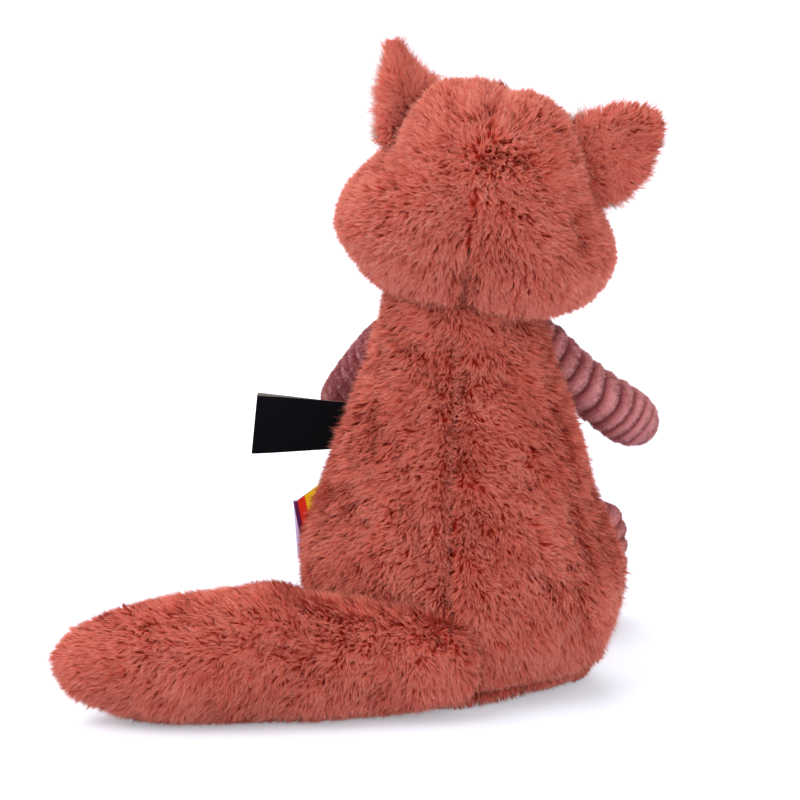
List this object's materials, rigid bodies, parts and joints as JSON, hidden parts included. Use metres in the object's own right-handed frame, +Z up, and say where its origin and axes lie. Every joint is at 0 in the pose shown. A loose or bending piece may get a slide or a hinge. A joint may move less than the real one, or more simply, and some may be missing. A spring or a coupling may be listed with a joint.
{
  "type": "plush raccoon",
  "caption": "Seated stuffed raccoon with a fur body, head, ears and tail, and corduroy arms, legs and belly.",
  "frame": {"origin": "under the middle of the body, on the surface that the toy sits on", "axes": "+Z is up, the face looks along -Y, and the toy's own left is +X"},
  "size_m": [0.23, 0.1989, 0.265],
  "materials": {
    "coral_fur": "matte",
    "pale_fur": "matte",
    "dark_felt": "matte",
    "rose_corduroy": "matte",
    "polyester_fibre": "matte",
    "calico": "matte",
    "black_satin": "satin",
    "striped_ribbon": "satin",
    "black_plastic": "gloss",
    "clear_plastic": "satin"
  },
  "bodies": {
    "body": {"body_back_left": "coral_fur", "body_back_right": "coral_fur", "belly_panel": "rose_corduroy", "seat_panel": "coral_fur", "body_stuffing": "polyester_fibre", "pellet_bag": "calico"},
    "neck": {"neck": "coral_fur"},
    "head": {"head_back_left": "coral_fur", "head_back_right": "coral_fur", "face_panel": "coral_fur", "head_stuffing": "polyester_fibre", "muzzle_panel": "pale_fur", "muzzle_stuffing": "polyester_fibre", "nose": "black_plastic", "nose_washer": "clear_plastic", "eye_patch_left": "dark_felt", "eye_patch_right": "dark_felt", "eye_left": "black_plastic", "eye_right": "black_plastic", "eye_washer_left": "clear_plastic", "eye_washer_right": "clear_plastic"},
    "ear_left": {"ear_back_left": "coral_fur", "ear_lining_left": "pale_fur"},
    "ear_right": {"ear_back_right": "coral_fur", "ear_lining_right": "pale_fur"},
    "arm_left": {"arm_left": "rose_corduroy", "arm_stuffing_left": "polyester_fibre"},
    "arm_right": {"arm_right": "rose_corduroy", "arm_stuffing_right": "polyester_fibre"},
    "leg_left": {"leg_left": "rose_corduroy", "foot_left": "rose_corduroy", "leg_stuffing_left": "polyester_fibre"},
    "leg_right": {"leg_right": "rose_corduroy", "foot_right": "rose_corduroy", "leg_stuffing_right": "polyester_fibre"},
    "tail": {"tail": "coral_fur", "tail_stuffing": "polyester_fibre"},
    "care_label": {"care_label": "black_satin"},
    "ribbon_tag": {"ribbon_tag": "striped_ribbon"}
  },
  "joints": [
    {"name": "neck_nod", "type": "hinge", "parent": "body", "child": "neck", "pos_m": [0, 0, 0.15], "axis": [1, 0, 0], "range_deg": [-7, 7], "stiffness_Nm_per_rad": 0.4},
    {"name": "head_turn", "type": "hinge", "parent": "neck", "child": "head", "pos_m": [0, 0, 0.15], "axis": [0, 0, 1], "range_deg": [-20, 20], "stiffness_Nm_per_rad": 0.25},
    {"name": "ear_left_fold", "type": "hinge", "parent": "head", "child": "ear_left", "pos_m": [0.02005, 0, 0.23114], "axis": [0.5602, 0.6428, -0.5224], "range_deg": [-20, 20], "stiffness_Nm_per_rad": 0.03},
    {"name": "ear_right_fold", "type": "hinge", "parent": "head", "child": "ear_right", "pos_m": [-0.04583, 0, 0.21564], "axis": [0.2741, -0.1045, 0.956], "range_deg": [-20, 20], "stiffness_Nm_per_rad": 0.03},
    {"name": "arm_left_swing", "type": "hinge", "parent": "body", "child": "arm_left", "pos_m": [0.036, -0.004, 0.134], "axis": [-0.9572, 0, -0.2894], "range_deg": [-15, 45], "stiffness_Nm_per_rad": 0.1},
    {"name": "arm_right_swing", "type": "hinge", "parent": "body", "child": "arm_right", "pos_m": [-0.036, -0.004, 0.134], "axis": [-0.9572, 0, 0.2894], "range_deg": [-40, 60], "stiffness_Nm_per_rad": 0.1},
    {"name": "leg_left_spread", "type": "hinge", "parent": "body", "child": "leg_left", "pos_m": [0.032, -0.042, 0.017], "axis": [0, 0, 1], "range_deg": [-8, 25], "stiffness_Nm_per_rad": 0.2},
    {"name": "leg_right_spread", "type": "hinge", "parent": "body", "child": "leg_right", "pos_m": [-0.032, -0.042, 0.017], "axis": [0, 0, -1], "range_deg": [-8, 25], "stiffness_Nm_per_rad": 0.2},
    {"name": "tail_swing", "type": "hinge", "parent": "body", "child": "tail", "pos_m": [0, 0.05, 0.02], "axis": [0, 0, 1], "range_deg": [0, 60], "stiffness_Nm_per_rad": 0.15},
    {"name": "care_label_flap", "type": "hinge", "parent": "body", "child": "care_label", "pos_m": [0.04683, -0.004, 0.104], "axis": [-0.3206, 0, 0.9472], "range_deg": [-10, 60], "stiffness_Nm_per_rad": 0.002},
    {"name": "ribbon_tag_flap", "type": "hinge", "parent": "body", "child": "ribbon_tag", "pos_m": [0.05969, -0.004, 0.066], "axis": [-0.3102, 0, 0.9507], "range_deg": [-10, 60], "stiffness_Nm_per_rad": 0.002}
  ]
}
